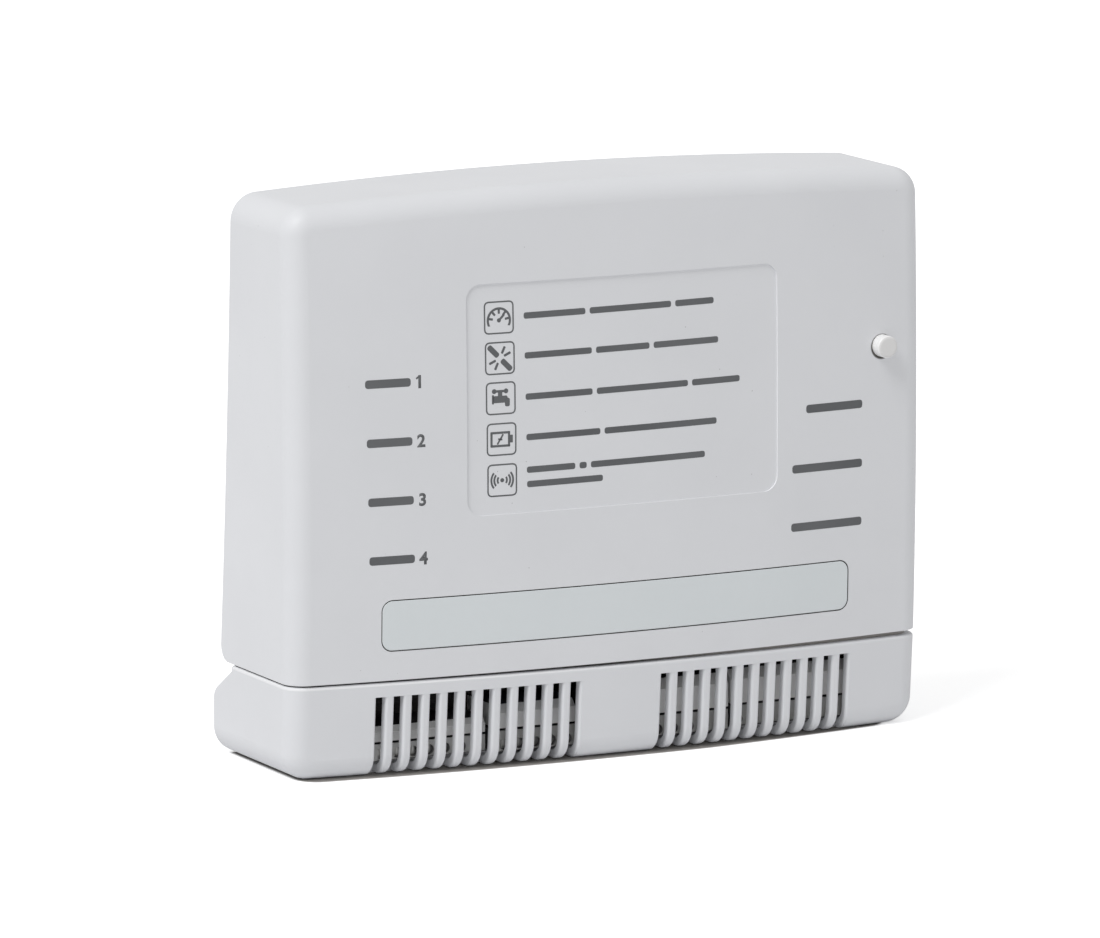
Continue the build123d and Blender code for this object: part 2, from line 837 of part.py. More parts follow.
# Mains fuse in its open holder
fuse_x = 60
fuse_z = 46
fuse_radius = 2.6
fuse_cap_radius = 2.75
fuse_length = 20
fuse_cap = 5
holder_length = 24
holder_width = 9
holder_wall = 1
holder_height = 7
with BuildPart() as fuse_holder:
    with BuildSketch(Plane.XZ.offset(-board_y)):
        with Locations((fuse_x, fuse_z)):
            Rectangle(holder_length, holder_width)
    extrude(amount=holder_height)
    with BuildSketch(Plane.XZ.offset(-board_y + holder_height)):
        with Locations((fuse_x, fuse_z)):
            Rectangle(holder_length - 2 * holder_wall, holder_width - 2 * holder_wall)
    extrude(amount=holder_wall - holder_height, mode=Mode.SUBTRACT)
fuse_holder.part.label = "fuse holder"
export_step(fuse_holder.part, "parts/fuse_holder.step")

fuse_y = board_y - holder_wall - fuse_cap_radius
with BuildPart() as mains_fuse:
    with BuildSketch(Plane.YZ.offset(fuse_x - fuse_length / 2)):
        with Locations((fuse_y, fuse_z)):
            Circle(fuse_radius)
    extrude(amount=fuse_length)
    for end_x in (fuse_x - fuse_length / 2, fuse_x + fuse_length / 2 - fuse_cap):
        with BuildSketch(Plane.YZ.offset(end_x)):
            with Locations((fuse_y, fuse_z)):
                Circle(fuse_cap_radius)
        extrude(amount=fuse_cap)
mains_fuse.part.label = "mains fuse"
export_step(mains_fuse.part, "parts/mains_fuse.step")

# Surge absorber disc beside the fuse
varistor_radius = 6
varistor_thickness = 4
varistor_x = 36
varistor_z = 46
varistor_lead = 1.5
with BuildPart() as surge_absorber:
    with BuildSketch(Plane.XY.offset(varistor_z - varistor_thickness / 2)):
        with Locations((varistor_x, board_y - varistor_radius - varistor_lead)):
            Circle(varistor_radius)
    extrude(amount=varistor_thickness)
    chamfer(surge_absorber.edges().filter_by(GeomType.CIRCLE), length=varistor_thickness / 5)
    with BuildSketch(Plane.XZ.offset(-board_y)):
        with Locations((varistor_x, varistor_z)):
            with GridLocations(varistor_radius, varistor_lead, 2, 1):
                Circle(varistor_lead / 4)
    extrude(amount=varistor_lead + varistor_radius / 2)
surge_absorber.part.label = "surge absorber"
export_step(surge_absorber.part, "parts/surge_absorber.step")

# Filter capacitors: three cans standing on the board
can_radius = 5
can_height = 15
can_x = -62
can_pitch = 12
can_count = 3
can_z = 30
with BuildPart() as filter_capacitors:
    with BuildSketch(Plane.XZ.offset(-board_y)):
        for number in range(can_count):
            with Locations((can_x + number * can_pitch, can_z)):
                Circle(can_radius)
    extrude(amount=can_height)
    chamfer(filter_capacitors.faces().group_by(Axis.Y)[0].edges(), length=can_radius / 8)
filter_capacitors.part.label = "filter capacitors"
export_step(filter_capacitors.part, "parts/filter_capacitors.step")

# Buzzer: a round can with a sound hole
buzzer_radius = 6
buzzer_height = 9.5
buzzer_hole_radius = 1
buzzer_x = -52
buzzer_z = 78
with BuildPart() as alarm_buzzer:
    with BuildSketch(Plane.XZ.offset(-board_y)):
        with Locations((buzzer_x, buzzer_z)):
            Circle(buzzer_radius)
    extrude(amount=buzzer_height)
    chamfer(alarm_buzzer.faces().sort_by(Axis.Y)[0].edges(), length=buzzer_radius / 8)
    with BuildSketch(Plane.XZ.offset(-board_y + buzzer_height)):
        with Locations((buzzer_x, buzzer_z)):
            Circle(buzzer_hole_radius)
    extrude(amount=-buzzer_height / 2, mode=Mode.SUBTRACT)
alarm_buzzer.part.label = "alarm buzzer"
export_step(alarm_buzzer.part, "parts/alarm_buzzer.step")

# Controller chip with its rows of leads
chip_size = 12
chip_height = 1.5
chip_stand = 0.3
chip_x = -15
chip_z = 78
chip_lead_reach = 1
chip_leads = 8
chip_lead_width = 0.6
with BuildPart() as controller_chip:
    with BuildSketch(Plane.XZ.offset(-board_y + chip_stand)):
        with Locations((chip_x, chip_z)):
            Rectangle(chip_size, chip_size)
    extrude(amount=chip_height)
    chamfer(controller_chip.faces().sort_by(Axis.Y)[0].edges(), length=chip_height / 5)
    lead_pitch = chip_size / (chip_leads + 1)
    with BuildSketch(Plane.XZ.offset(-board_y)):
        with Locations((chip_x, chip_z)):
            with GridLocations(lead_pitch, lead_pitch, chip_leads, 1):
                Rectangle(chip_lead_width, chip_size + 2 * chip_lead_reach)
            with GridLocations(lead_pitch, lead_pitch, 1, chip_leads):
                Rectangle(chip_size + 2 * chip_lead_reach, chip_lead_width)
    extrude(amount=2 * chip_stand)
controller_chip.part.label = "controller chip"
export_step(controller_chip.part, "parts/controller_chip.step")

# Radio module for wireless sensors: a small board under a metal can, and its wire aerial
radio_width = 26
radio_length = 18
radio_board = 1
radio_can_height = 2.4
radio_margin = 1.5
radio_x = 50
radio_z = 128
with BuildPart() as radio_module:
    with BuildSketch(Plane.XZ.offset(-board_y)):
        with Locations((radio_x, radio_z)):
            Rectangle(radio_width, radio_length)
    extrude(amount=radio_board)
    with BuildSketch(Plane.XZ.offset(-board_y + radio_board)):
        with Locations((radio_x, radio_z)):
            Rectangle(radio_width - 2 * radio_margin, radio_length - 2 * radio_margin)
    extrude(amount=radio_can_height)
    fillet(radio_module.faces().sort_by(Axis.Y)[0].edges(), radius=radio_can_height / 4)
radio_module.part.label = "radio module"
export_step(radio_module.part, "parts/radio_module.step")

aerial_radius = 0.5
aerial_bend = 3
aerial_rise = 8
aerial_length = 82
aerial_x = radio_x - radio_width / 2 - radio_margin
with BuildPart() as radio_aerial:
    with BuildLine() as aerial_path:
        FilletPolyline(
            (aerial_x, board_y, radio_z),
            (aerial_x, board_y - aerial_rise, radio_z),
            (aerial_x - aerial_length, board_y - aerial_rise, radio_z),
            radius=aerial_bend,
        )
    with BuildSketch(Plane(origin=(aerial_x, board_y, radio_z), z_dir=(0, -1, 0))):
        Circle(aerial_radius)
    sweep()
radio_aerial.part.label = "radio aerial"
export_step(radio_aerial.part, "parts/radio_aerial.step")

# Backup supply: three round cells in an open holder on the back of the board
cell_radius = 7.2
cell_length = 50
cell_nub_radius = 2.7
cell_nub = 1
cell_count = 3
cell_play = 0.3
cell_z = 118
holder_shell = 1.5
contact_space = 3
cell_pitch = 2 * (cell_radius + cell_play)
cradle_length = cell_length + cell_nub + 2 * contact_space + 2 * holder_shell
cradle_width = cell_count * cell_pitch + 2 * holder_shell
cradle_depth = 2 * cell_radius + holder_shell + cell_play
with BuildPart() as battery_holder:
    with BuildSketch(Plane.XZ.offset(-board_back_y)):
        with Locations((0, cell_z)):
            RectangleRounded(cradle_length, cradle_width, holder_shell)
    extrude(amount=-cradle_depth)
    with BuildSketch(Plane.XZ.offset(-board_back_y - holder_shell)):
        with Locations((0, cell_z)):
            Rectangle(cradle_length - 2 * holder_shell, cradle_width - 2 * holder_shell)
    extrude(amount=-cradle_depth, mode=Mode.SUBTRACT)
battery_holder.part.label = "battery holder"
export_step(battery_holder.part, "parts/battery_holder.step")

cell_y = board_back_y + holder_shell + cell_play + cell_radius
with BuildPart() as backup_cells:
    for number in range(cell_count):
        row_z = cell_z + (number - (cell_count - 1) / 2) * cell_pitch
        facing = 1 if number % 2 == 0 else -1
        start_x = -facing * (cell_length + cell_nub) / 2
        with BuildSketch(Plane(origin=(start_x, cell_y, row_z), z_dir=(facing, 0, 0))):
            Circle(cell_radius)
        extrude(amount=cell_length)
        with BuildSketch(
            Plane(origin=(start_x + facing * cell_length, cell_y, row_z), z_dir=(facing, 0, 0))
        ):
            Circle(cell_nub_radius)
        extrude(amount=cell_nub)
backup_cells.part.label = "backup cells"
export_step(backup_cells.part, "parts/backup_cells.step")

# Sprung contact plates at both ends of each cell
contact_width = 8
with BuildPart() as cell_contacts:
    for number in range(cell_count):
        row_z = cell_z + (number - (cell_count - 1) / 2) * cell_pitch
        for side in (-1, 1):
            wall_x = side * (cradle_length / 2 - holder_shell)
            cell_end_x = side * (cell_length + cell_nub) / 2
            with BuildSketch(Plane.XY.offset(row_z - contact_width / 2)):
                with BuildLine():
                    Polyline(
                        (wall_x, cell_y - contact_width / 2),
                        (wall_x, cell_y + contact_width / 2),
                        (cell_end_x, cell_y),
                        close=True,
                    )
                make_face()
            extrude(amount=contact_width)
cell_contacts.part.label = "cell contacts"
export_step(cell_contacts.part, "parts/cell_contacts.step")
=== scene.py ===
import math

import bpy
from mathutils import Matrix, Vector


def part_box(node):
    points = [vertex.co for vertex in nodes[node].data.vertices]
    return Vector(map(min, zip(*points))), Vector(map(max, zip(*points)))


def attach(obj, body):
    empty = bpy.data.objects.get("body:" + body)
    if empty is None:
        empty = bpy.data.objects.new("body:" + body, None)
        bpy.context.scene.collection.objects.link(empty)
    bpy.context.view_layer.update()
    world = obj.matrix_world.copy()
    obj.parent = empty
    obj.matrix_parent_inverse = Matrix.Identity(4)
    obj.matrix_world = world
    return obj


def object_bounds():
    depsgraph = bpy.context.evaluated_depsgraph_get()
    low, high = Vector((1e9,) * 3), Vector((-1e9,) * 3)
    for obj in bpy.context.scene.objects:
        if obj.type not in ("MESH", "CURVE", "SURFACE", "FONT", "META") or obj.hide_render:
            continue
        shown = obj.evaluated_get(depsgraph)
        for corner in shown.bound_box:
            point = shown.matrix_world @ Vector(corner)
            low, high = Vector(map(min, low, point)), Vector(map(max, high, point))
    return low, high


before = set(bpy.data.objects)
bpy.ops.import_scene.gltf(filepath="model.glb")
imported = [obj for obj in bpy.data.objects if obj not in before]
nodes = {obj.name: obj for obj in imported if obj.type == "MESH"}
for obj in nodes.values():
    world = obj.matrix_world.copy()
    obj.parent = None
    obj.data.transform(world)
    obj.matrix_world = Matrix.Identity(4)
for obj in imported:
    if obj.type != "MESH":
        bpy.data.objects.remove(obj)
cad_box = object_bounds()

# The studio: a white table top that runs on far behind the controller, under one large
# soft lamp at the upper left and an even white surround. The camera stands a long way
# off, to the left of the controller and a little above it, and looks down by ten degrees.
camera_place = (-1.1584, -2.3050, 0.5147)
camera_sight = (0.44028, 0.88229, -0.16651)
camera_lens = 300.0
camera_shift = -0.0006
sensor_width = 36
nearest_view = 0.1
farthest_view = 50
white = (1, 1, 1, 1)
table_size = 12
table_white = (0.86, 0.86, 0.865, 1)
table_lift = 0.45
shade_colour = (0.30, 0.285, 0.27, 1)
shade_axis_y = 0.73525
shade_reach = 0.7629
shade_middle_x = -0.002
shade_half_width = 0.094
shade_back_y = 0.028
shade_corner = 0.006
shade_soft = 0.0011
shade_fade_x = 0.03
shade_fade = 0.055
surround_strength = 0.66
lamp_strength = 1.45
lamp_from = (-0.59, -0.25, 0.77)
lamp_spread = 28

bpy.ops.object.select_all(action="DESELECT")
sight_turn = Vector(camera_sight).to_track_quat("-Z", "Y").to_euler()
bpy.ops.object.camera_add(location=camera_place, rotation=sight_turn)
camera = bpy.context.object
camera.data.lens = camera_lens
camera.data.sensor_width = sensor_width
camera.data.shift_y = camera_shift
camera.data.clip_start = nearest_view
camera.data.clip_end = farthest_view
bpy.context.scene.camera = camera
bpy.context.scene.view_settings.view_transform = "Standard"

bpy.ops.object.light_add(type="SUN", rotation=Vector(lamp_from).to_track_quat("Z", "Y").to_euler())
soft_lamp = bpy.context.object
soft_lamp.data.energy = lamp_strength
soft_lamp.data.angle = math.radians(lamp_spread)


def put(tree, socket, value):
    """Links a socket to another one, or sets it to a constant."""
    if isinstance(value, bpy.types.NodeSocket):
        tree.links.new(value, socket)
    else:
        socket.default_value = value


def worked(tree, node_type, kind, *values):
    """One Math or Vector Math node on the values given, each a socket or a constant."""
    node = tree.nodes.new(node_type)
    node.operation = kind
    for socket, value in zip(node.inputs, values):
        put(tree, socket, value)
    return node


def summed(tree, kind, *values):
    """The result of one Math node."""
    return worked(tree, "ShaderNodeMath", kind, *values).outputs[0]


def ranged(tree, value, low=0, high=1, to_low=0, to_high=1, kind="LINEAR"):
    """A value carried from one range to another and held at its ends."""
    node = tree.nodes.new("ShaderNodeMapRange")
    node.interpolation_type = kind
    put(tree, node.inputs["Value"], value)
    put(tree, node.inputs["From Min"], low)
    put(tree, node.inputs["From Max"], high)
    put(tree, node.inputs["To Min"], to_low)
    put(tree, node.inputs["To Max"], to_high)
    return node.outputs["Result"]


def blended(tree, share, first, second):
    """A colour between two others: the first at a share of 0, the second at 1."""
    node = tree.nodes.new("ShaderNodeMix")
    node.data_type = "RGBA"
    put(tree, node.inputs["Factor"], share)
    put(tree, node.inputs[6], first)
    put(tree, node.inputs[7], second)
    return node.outputs[2]


def object_place(tree):
    """A point's place in its object's own coordinates."""
    return tree.nodes.new("ShaderNodeTexCoord").outputs["Object"]


def parted(tree, vector):
    """The X, Y and Z of a vector."""
    node = tree.nodes.new("ShaderNodeSeparateXYZ")
    tree.links.new(vector, node.inputs[0])
    return node.outputs["X"], node.outputs["Y"], node.outputs["Z"]


def rounded_out(tree, corner, *depths):
    """How far out a point lies towards a rounded outline, from its depths under two sides."""
    squares = []
    for depth in depths:
        short = summed(tree, "MAXIMUM", summed(tree, "SUBTRACT", corner, depth), 0)
        squares.append(summed(tree, "MULTIPLY", short, short))
    return summed(tree, "SQRT", summed(tree, "ADD", *squares))


def shade_group():
    """Where the case keeps the light off the table: 1 under it, 0 outside."""
    group = bpy.data.node_groups.new("contact shade", "ShaderNodeTree")
    group.interface.new_socket("Shade", in_out="OUTPUT", socket_type="NodeSocketFloat")
    out = group.nodes.new("NodeGroupOutput")
    place = object_place(group)
    across, away, _ = parted(group, place)
    axis = (0, shade_axis_y, 0)
    reach = worked(group, "ShaderNodeVectorMath", "DISTANCE", place, axis).outputs["Value"]
    right = summed(group, "MAXIMUM", summed(group, "SUBTRACT", across, shade_fade_x), 0)
    reach = summed(group, "ADD", reach, summed(group, "MULTIPLY", right, shade_fade))
    aside = summed(group, "ABSOLUTE", summed(group, "SUBTRACT", across, shade_middle_x))
    front = summed(group, "SUBTRACT", shade_reach, reach)
    side = summed(group, "SUBTRACT", shade_half_width, aside)
    outward = rounded_out(group, shade_corner, front, side)
    outer = shade_corner + shade_soft
    inner = shade_corner - shade_soft
    edge = ranged(group, outward, outer, inner, kind="SMOOTHSTEP")
    ahead = summed(group, "LESS_THAN", away, shade_back_y)
    group.links.new(summed(group, "MULTIPLY", edge, ahead), out.inputs["Shade"])
    return group


surround = bpy.data.worlds.new("white surround")
bpy.context.scene.world = surround
surround.use_nodes = True
air = surround.node_tree
air.nodes.clear()
seen = air.nodes.new("ShaderNodeLightPath")
view = summed(air, "MAXIMUM", seen.outputs["Is Camera Ray"], seen.outputs["Is Glossy Ray"])
view = summed(air, "MAXIMUM", view, seen.outputs["Is Transmission Ray"])
glow = air.nodes.new("ShaderNodeBackground")
air_out = air.nodes.new("ShaderNodeOutputWorld")
put(air, glow.inputs["Strength"], ranged(air, view, to_low=surround_strength))
air.links.new(glow.outputs[0], air_out.inputs["Surface"])

bpy.ops.mesh.primitive_plane_add(size=table_size, location=(0, 0, 0))
table_top = bpy.context.object
table_top.name = "table_top"
paint = bpy.data.materials.new("table white")
paint.use_nodes = True
tree = paint.node_tree
tree.nodes.clear()
under = tree.nodes.new("ShaderNodeGroup")
under.node_tree = shade_group()
shade = under.outputs["Shade"]
table_seen = tree.nodes.new("ShaderNodeLightPath")
lit = tree.nodes.new("ShaderNodeBsdfDiffuse")
lit.inputs["Color"].default_value = table_white
shown = tree.nodes.new("ShaderNodeBsdfDiffuse")
put(tree, shown.inputs["Color"], blended(tree, shade, white, shade_colour))
lift = tree.nodes.new("ShaderNodeEmission")
put(tree, lift.inputs["Strength"], ranged(tree, shade, to_low=table_lift, to_high=0))
shown_lift = tree.nodes.new("ShaderNodeAddShader")
pick = tree.nodes.new("ShaderNodeMixShader")
table_out = tree.nodes.new("ShaderNodeOutputMaterial")
tree.links.new(shown.outputs[0], shown_lift.inputs[0])
tree.links.new(lift.outputs[0], shown_lift.inputs[1])
tree.links.new(table_seen.outputs["Is Camera Ray"], pick.inputs[0])
tree.links.new(lit.outputs[0], pick.inputs[1])
tree.links.new(shown_lift.outputs[0], pick.inputs[2])
tree.links.new(pick.outputs[0], table_out.inputs["Surface"])
table_top.data.materials.append(paint)


# The case: front cover and rear housing, both injection moulded in off-white ABS with a
# fine spark-eroded texture. The cover hooks over the housing's flange; the vented base
# and the pan behind the board are one moulding. Narrow gaps, grooves and steps are painted
# darker as painted shade, and a few walls and edges lighter as painted highlights.
case_colour = (0.782, 0.791, 0.814, 1)
case_shade = (0.762, 0.771, 0.794, 1)
case_finish = {"roughness": 0.48, "grain_pitch": 0.00045, "depth": 0.000006}
mottle_scale = 28
mottle_low = 0.35
mottle_high = 0.65
polish_spread = 0.04
dust_colour = (0.42, 0.42, 0.42, 1)
dust_pitch = 0.0055
dust_speck = 0.028
dust_rarity = 0.45
bow_radius = 0.765
bow_axis_y = shade_axis_y
crown_radius = 1.6
crown_z = 0.085
half_width = 0.1003
edge_radius = 0.0065
painted_shade_colour = (0.11, 0.105, 0.10, 1)
recess_highlight_colour = (0.92, 0.925, 0.94, 1)
recess_box = ((0.0011, -0.025, 0.1059), (0.0500, 0.02, 0.0336))
recess_wall = (0.0001, 0.00044)
pocket_box = ((0.0006, -0.025, 0.0443), (0.0746, 0.02, 0.0069))
pocket_foot_box = ((0.0006, -0.025, 0.0367), (0.0746, 0.02, 0.0007))
pocket_foot_shade = (0.3, 0.3, 0.29, 1)
pocket_wall = (0.0003, 0.0020)
mouth_centre = (0.0857, 0, 0.1118)
mouth_outer = 0.0039
mouth_inner = 0.0034
mouth_shade_colour = (0.06, 0.055, 0.05, 1)
lip_box = ((0, -0.0075, 0.0269), (0.11, 0.024, 0.0005))
lip_highlight_colour = (0.86, 0.865, 0.88, 1)
lip_depth = 0.0010
gap_box = ((0, -0.0075, 0.0280), (0.11, 0.024, 0.0025))
gap_start_x = (-0.095, -0.020)
gap_start = (0.0008, 0.0023)
gap_depth = 0.0045
gap_pale_x = (0.000, 0.035)
gap_pale_shade_colour = (0.42, 0.40, 0.38, 1)


def new_group(name, inputs, outputs):
    """An empty node group with the sockets given, its input node and its output node."""
    group = bpy.data.node_groups.new(name, "ShaderNodeTree")
    for way, sockets in (("INPUT", inputs), ("OUTPUT", outputs)):
        for label, kind in sockets.items():
            group.interface.new_socket(label, in_out=way, socket_type=kind)
    return group, group.nodes.new("NodeGroupInput"), group.nodes.new("NodeGroupOutput")


def noise(tree, place, scale, detail=2, roughness=0.5):
    """The value of a noise texture."""
    node = tree.nodes.new("ShaderNodeTexNoise")
    put(tree, node.inputs["Vector"], place)
    put(tree, node.inputs["Scale"], scale)
    put(tree, node.inputs["Detail"], detail)
    put(tree, node.inputs["Roughness"], roughness)
    return node.outputs["Fac"]


def grain_group():
    """Fine moulded texture: a slightly mottled colour, a height and a roughness."""
    group, feed, out = new_group(
        "moulded grain",
        {
            "Colour": "NodeSocketColor", "Shade": "NodeSocketColor",
            "Grain Scale": "NodeSocketFloat", "Roughness": "NodeSocketFloat",
        },
        {
            "Colour": "NodeSocketColor", "Height": "NodeSocketFloat",
            "Roughness": "NodeSocketFloat",
        },
    )
    place = object_place(group)
    fine = noise(group, place, feed.outputs["Grain Scale"], detail=3, roughness=0.6)
    cloud = noise(group, place, mottle_scale, detail=4)
    mottle = ranged(group, cloud, mottle_low, mottle_high)
    colour = blended(group, mottle, feed.outputs["Colour"], feed.outputs["Shade"])
    polish = ranged(group, fine, to_low=-polish_spread, to_high=polish_spread)
    group.links.new(colour, out.inputs["Colour"])
    group.links.new(fine, out.inputs["Height"])
    rough = summed(group, "ADD", polish, feed.outputs["Roughness"])
    group.links.new(rough, out.inputs["Roughness"])
    return group


def dust_group():
    """Sparse specks of dust on a surface, laid over its colour."""
    group, feed, out = new_group(
        "loose dust",
        {
            "Colour": "NodeSocketColor", "Dust": "NodeSocketColor",
            "Dust Scale": "NodeSocketFloat", "Speck": "NodeSocketFloat",
        },
        {"Colour": "NodeSocketColor"},
    )
    cells = group.nodes.new("ShaderNodeTexVoronoi")
    chance = group.nodes.new("ShaderNodeSeparateColor")
    group.links.new(object_place(group), cells.inputs["Vector"])
    group.links.new(feed.outputs["Dust Scale"], cells.inputs["Scale"])
    group.links.new(cells.outputs["Color"], chance.inputs["Color"])
    near = summed(group, "LESS_THAN", cells.outputs["Distance"], feed.outputs["Speck"])
    some = summed(group, "GREATER_THAN", chance.outputs["Red"], dust_rarity)
    speck = summed(group, "MULTIPLY", near, some)
    speck = summed(group, "MULTIPLY", speck, chance.outputs["Green"])
    colour = blended(group, speck, feed.outputs["Colour"], feed.outputs["Dust"])
    group.links.new(colour, out.inputs["Colour"])
    return group


def gap_group():
    """Painted shade and highlights: another colour within a box and between two depths under the
    case's bowed skin.
    """
    group, feed, out = new_group(
        "painted shading",
        {
            "Colour": "NodeSocketColor", "Painted Shading": "NodeSocketColor",
            "Centre": "NodeSocketVector", "Half": "NodeSocketVector",
            "Shallow": "NodeSocketFloat", "Deep": "NodeSocketFloat",
        },
        {"Colour": "NodeSocketColor"},
    )
    vector_math = "ShaderNodeVectorMath"
    place = object_place(group)
    across, away, up = parted(group, place)
    level = group.nodes.new("ShaderNodeCombineXYZ")
    group.links.new(across, level.inputs["X"])
    group.links.new(away, level.inputs["Y"])
    axis = (0, bow_axis_y, 0)
    reach = worked(group, vector_math, "DISTANCE", level.outputs[0], axis).outputs["Value"]
    above = summed(group, "SUBTRACT", up, crown_z)
    drop = summed(group, "DIVIDE", summed(group, "MULTIPLY", above, above), 2 * crown_radius)
    front = summed(group, "SUBTRACT", summed(group, "SUBTRACT", bow_radius, drop), reach)
    side = summed(group, "SUBTRACT", half_width, summed(group, "ABSOLUTE", across))
    depth = summed(group, "SUBTRACT", edge_radius, rounded_out(group, edge_radius, front, side))
    offset = worked(group, vector_math, "SUBTRACT", place, feed.outputs["Centre"])
    offset = worked(group, vector_math, "ABSOLUTE", offset.outputs["Vector"])
    spare = worked(group, vector_math, "SUBTRACT", feed.outputs["Half"], offset.outputs["Vector"])
    spare_x, spare_y, spare_z = parted(group, spare.outputs["Vector"])
    least = summed(group, "MINIMUM", spare_x, spare_y)
    inside = summed(group, "GREATER_THAN", summed(group, "MINIMUM", least, spare_z), 0)
    below = summed(group, "GREATER_THAN", depth, feed.outputs["Shallow"])
    over = summed(group, "LESS_THAN", depth, feed.outputs["Deep"])
    mask = summed(group, "MULTIPLY", summed(group, "MULTIPLY", inside, below), over)
    colour = blended(group, mask, feed.outputs["Colour"], feed.outputs["Painted Shading"])
    group.links.new(colour, out.inputs["Colour"])
    return group


grain = grain_group()
dust = dust_group()
painted_shading = gap_group()


def dress(node_names, material):
    """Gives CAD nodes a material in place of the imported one."""
    for name in node_names:
        nodes[name].data.materials.clear()
        nodes[name].data.materials.append(material)


def body_of(material):
    """The main shader of a material."""
    return material.node_tree.nodes["Principled BSDF"]


def moulded(name, colour, shade, roughness, grain_pitch, depth, gloss=0.5, dusty=True):
    """A moulded plastic: fine texture, faint mottling and, if dusty, specks of dust."""
    material = bpy.data.materials.new(name)
    material.use_nodes = True
    tree = material.node_tree
    body = body_of(material)
    texture = tree.nodes.new("ShaderNodeGroup")
    texture.node_tree = grain
    texture.inputs["Colour"].default_value = colour
    texture.inputs["Shade"].default_value = shade
    texture.inputs["Grain Scale"].default_value = 1 / grain_pitch
    texture.inputs["Roughness"].default_value = roughness
    bump = tree.nodes.new("ShaderNodeBump")
    bump.inputs["Distance"].default_value = depth
    bump.inputs["Strength"].default_value = 1
    body.inputs["Specular IOR Level"].default_value = gloss
    tree.links.new(texture.outputs["Height"], bump.inputs["Height"])
    tree.links.new(bump.outputs["Normal"], body.inputs["Normal"])
    tree.links.new(texture.outputs["Roughness"], body.inputs["Roughness"])
    skin = texture.outputs["Colour"]
    if dusty:
        specks = tree.nodes.new("ShaderNodeGroup")
        specks.node_tree = dust
        specks.inputs["Dust"].default_value = dust_colour
        specks.inputs["Dust Scale"].default_value = 1 / dust_pitch
        specks.inputs["Speck"].default_value = dust_speck
        tree.links.new(skin, specks.inputs["Colour"])
        skin = specks.outputs["Colour"]
    tree.links.new(skin, body.inputs["Base Color"])
    return material


def skin_of(material):
    """The socket that a material's colour comes from."""
    return body_of(material).inputs["Base Color"].links[0].from_socket


def soil(material, colour, box, shallow=-1, deep=1):
    """Painted shade and highlights on part of a material: another colour in a box (centre and
    half), between two depths.
    """
    tree = material.node_tree
    shading_node = tree.nodes.new("ShaderNodeGroup")
    shading_node.node_tree = painted_shading
    put(tree, shading_node.inputs["Colour"], skin_of(material))
    put(tree, shading_node.inputs["Painted Shading"], colour)
    put(tree, shading_node.inputs["Centre"], box[0])
    put(tree, shading_node.inputs["Half"], box[1])
    put(tree, shading_node.inputs["Shallow"], shallow)
    put(tree, shading_node.inputs["Deep"], deep)
    tree.links.new(shading_node.outputs["Colour"], body_of(material).inputs["Base Color"])


cover_plastic = moulded("cover plastic", case_colour, case_shade, **case_finish)
# painted highlight on the walls of the label recess
soil(cover_plastic, recess_highlight_colour, recess_box, *recess_wall)
# painted shade in the groove round the name plate's pocket and along its foot
soil(cover_plastic, painted_shade_colour, pocket_box, *pocket_wall)
soil(cover_plastic, pocket_foot_shade, pocket_foot_box, *pocket_wall)

# painted shade: a dark ring in the clearance gap round the push button
tree = cover_plastic.node_tree
level = worked(tree, "ShaderNodeVectorMath", "MULTIPLY", object_place(tree), (1, 0, 1))
level = level.outputs["Vector"]
off = worked(tree, "ShaderNodeVectorMath", "DISTANCE", level, mouth_centre).outputs["Value"]
mouth = ranged(tree, off, mouth_outer, mouth_inner, kind="SMOOTHSTEP")
colour = blended(tree, mouth, skin_of(cover_plastic), mouth_shade_colour)
tree.links.new(colour, body_of(cover_plastic).inputs["Base Color"])
dress(["front_cover"], cover_plastic)

# the housing: a painted highlight on the base's lip below the parting gap, and painted shade
# in the gap, which starts deeper and is paler towards the right
housing_plastic = moulded("housing plastic", case_colour, case_shade, **case_finish)
soil(housing_plastic, lip_highlight_colour, lip_box, deep=lip_depth)
tree = housing_plastic.node_tree
across = parted(tree, object_place(tree))[0]
start = ranged(tree, across, *gap_start_x, *gap_start)
colour = blended(tree, ranged(tree, across, *gap_pale_x), painted_shade_colour, gap_pale_shade_colour)
soil(housing_plastic, colour, gap_box, start, gap_depth)
dress(["rear_housing"], housing_plastic)

# Name plate: a long inlay of smoother, slightly greenish plastic glued into its pocket.
# Its rounded rim is painted dark: painted shade in the groove round it. It is left bare.
plate_box = ((0.0006, -0.025, 0.0435), (0.08, 0.02, 0.008))
plate_rim = 0.00014
plate_plastic = moulded(
    "plate plastic", (0.745, 0.785, 0.80, 1), (0.73, 0.77, 0.785, 1),
    roughness=0.30, grain_pitch=0.0012, depth=0.000002,
)
soil(plate_plastic, painted_shade_colour, plate_box, plate_rim)
dress(["name_plate"], plate_plastic)

# Push button: a small moulded cap, a little warmer and smoother than the case. It slides
# in the cover, held by a flange behind the face. Its front is painted darker than its side
# as painted shade.
button_face_box = ((0.0857, -0.0290, 0.1118), (0.01, 0.0004, 0.01))
button_face_shade = (0.76, 0.755, 0.75, 1)
button_plastic = moulded(
    "button plastic", (0.92, 0.915, 0.91, 1), (0.90, 0.895, 0.89, 1),
    roughness=0.36, grain_pitch=0.0008, depth=0.000003,
)
soil(button_plastic, button_face_shade, button_face_box)
dress(["push_button"], button_plastic)
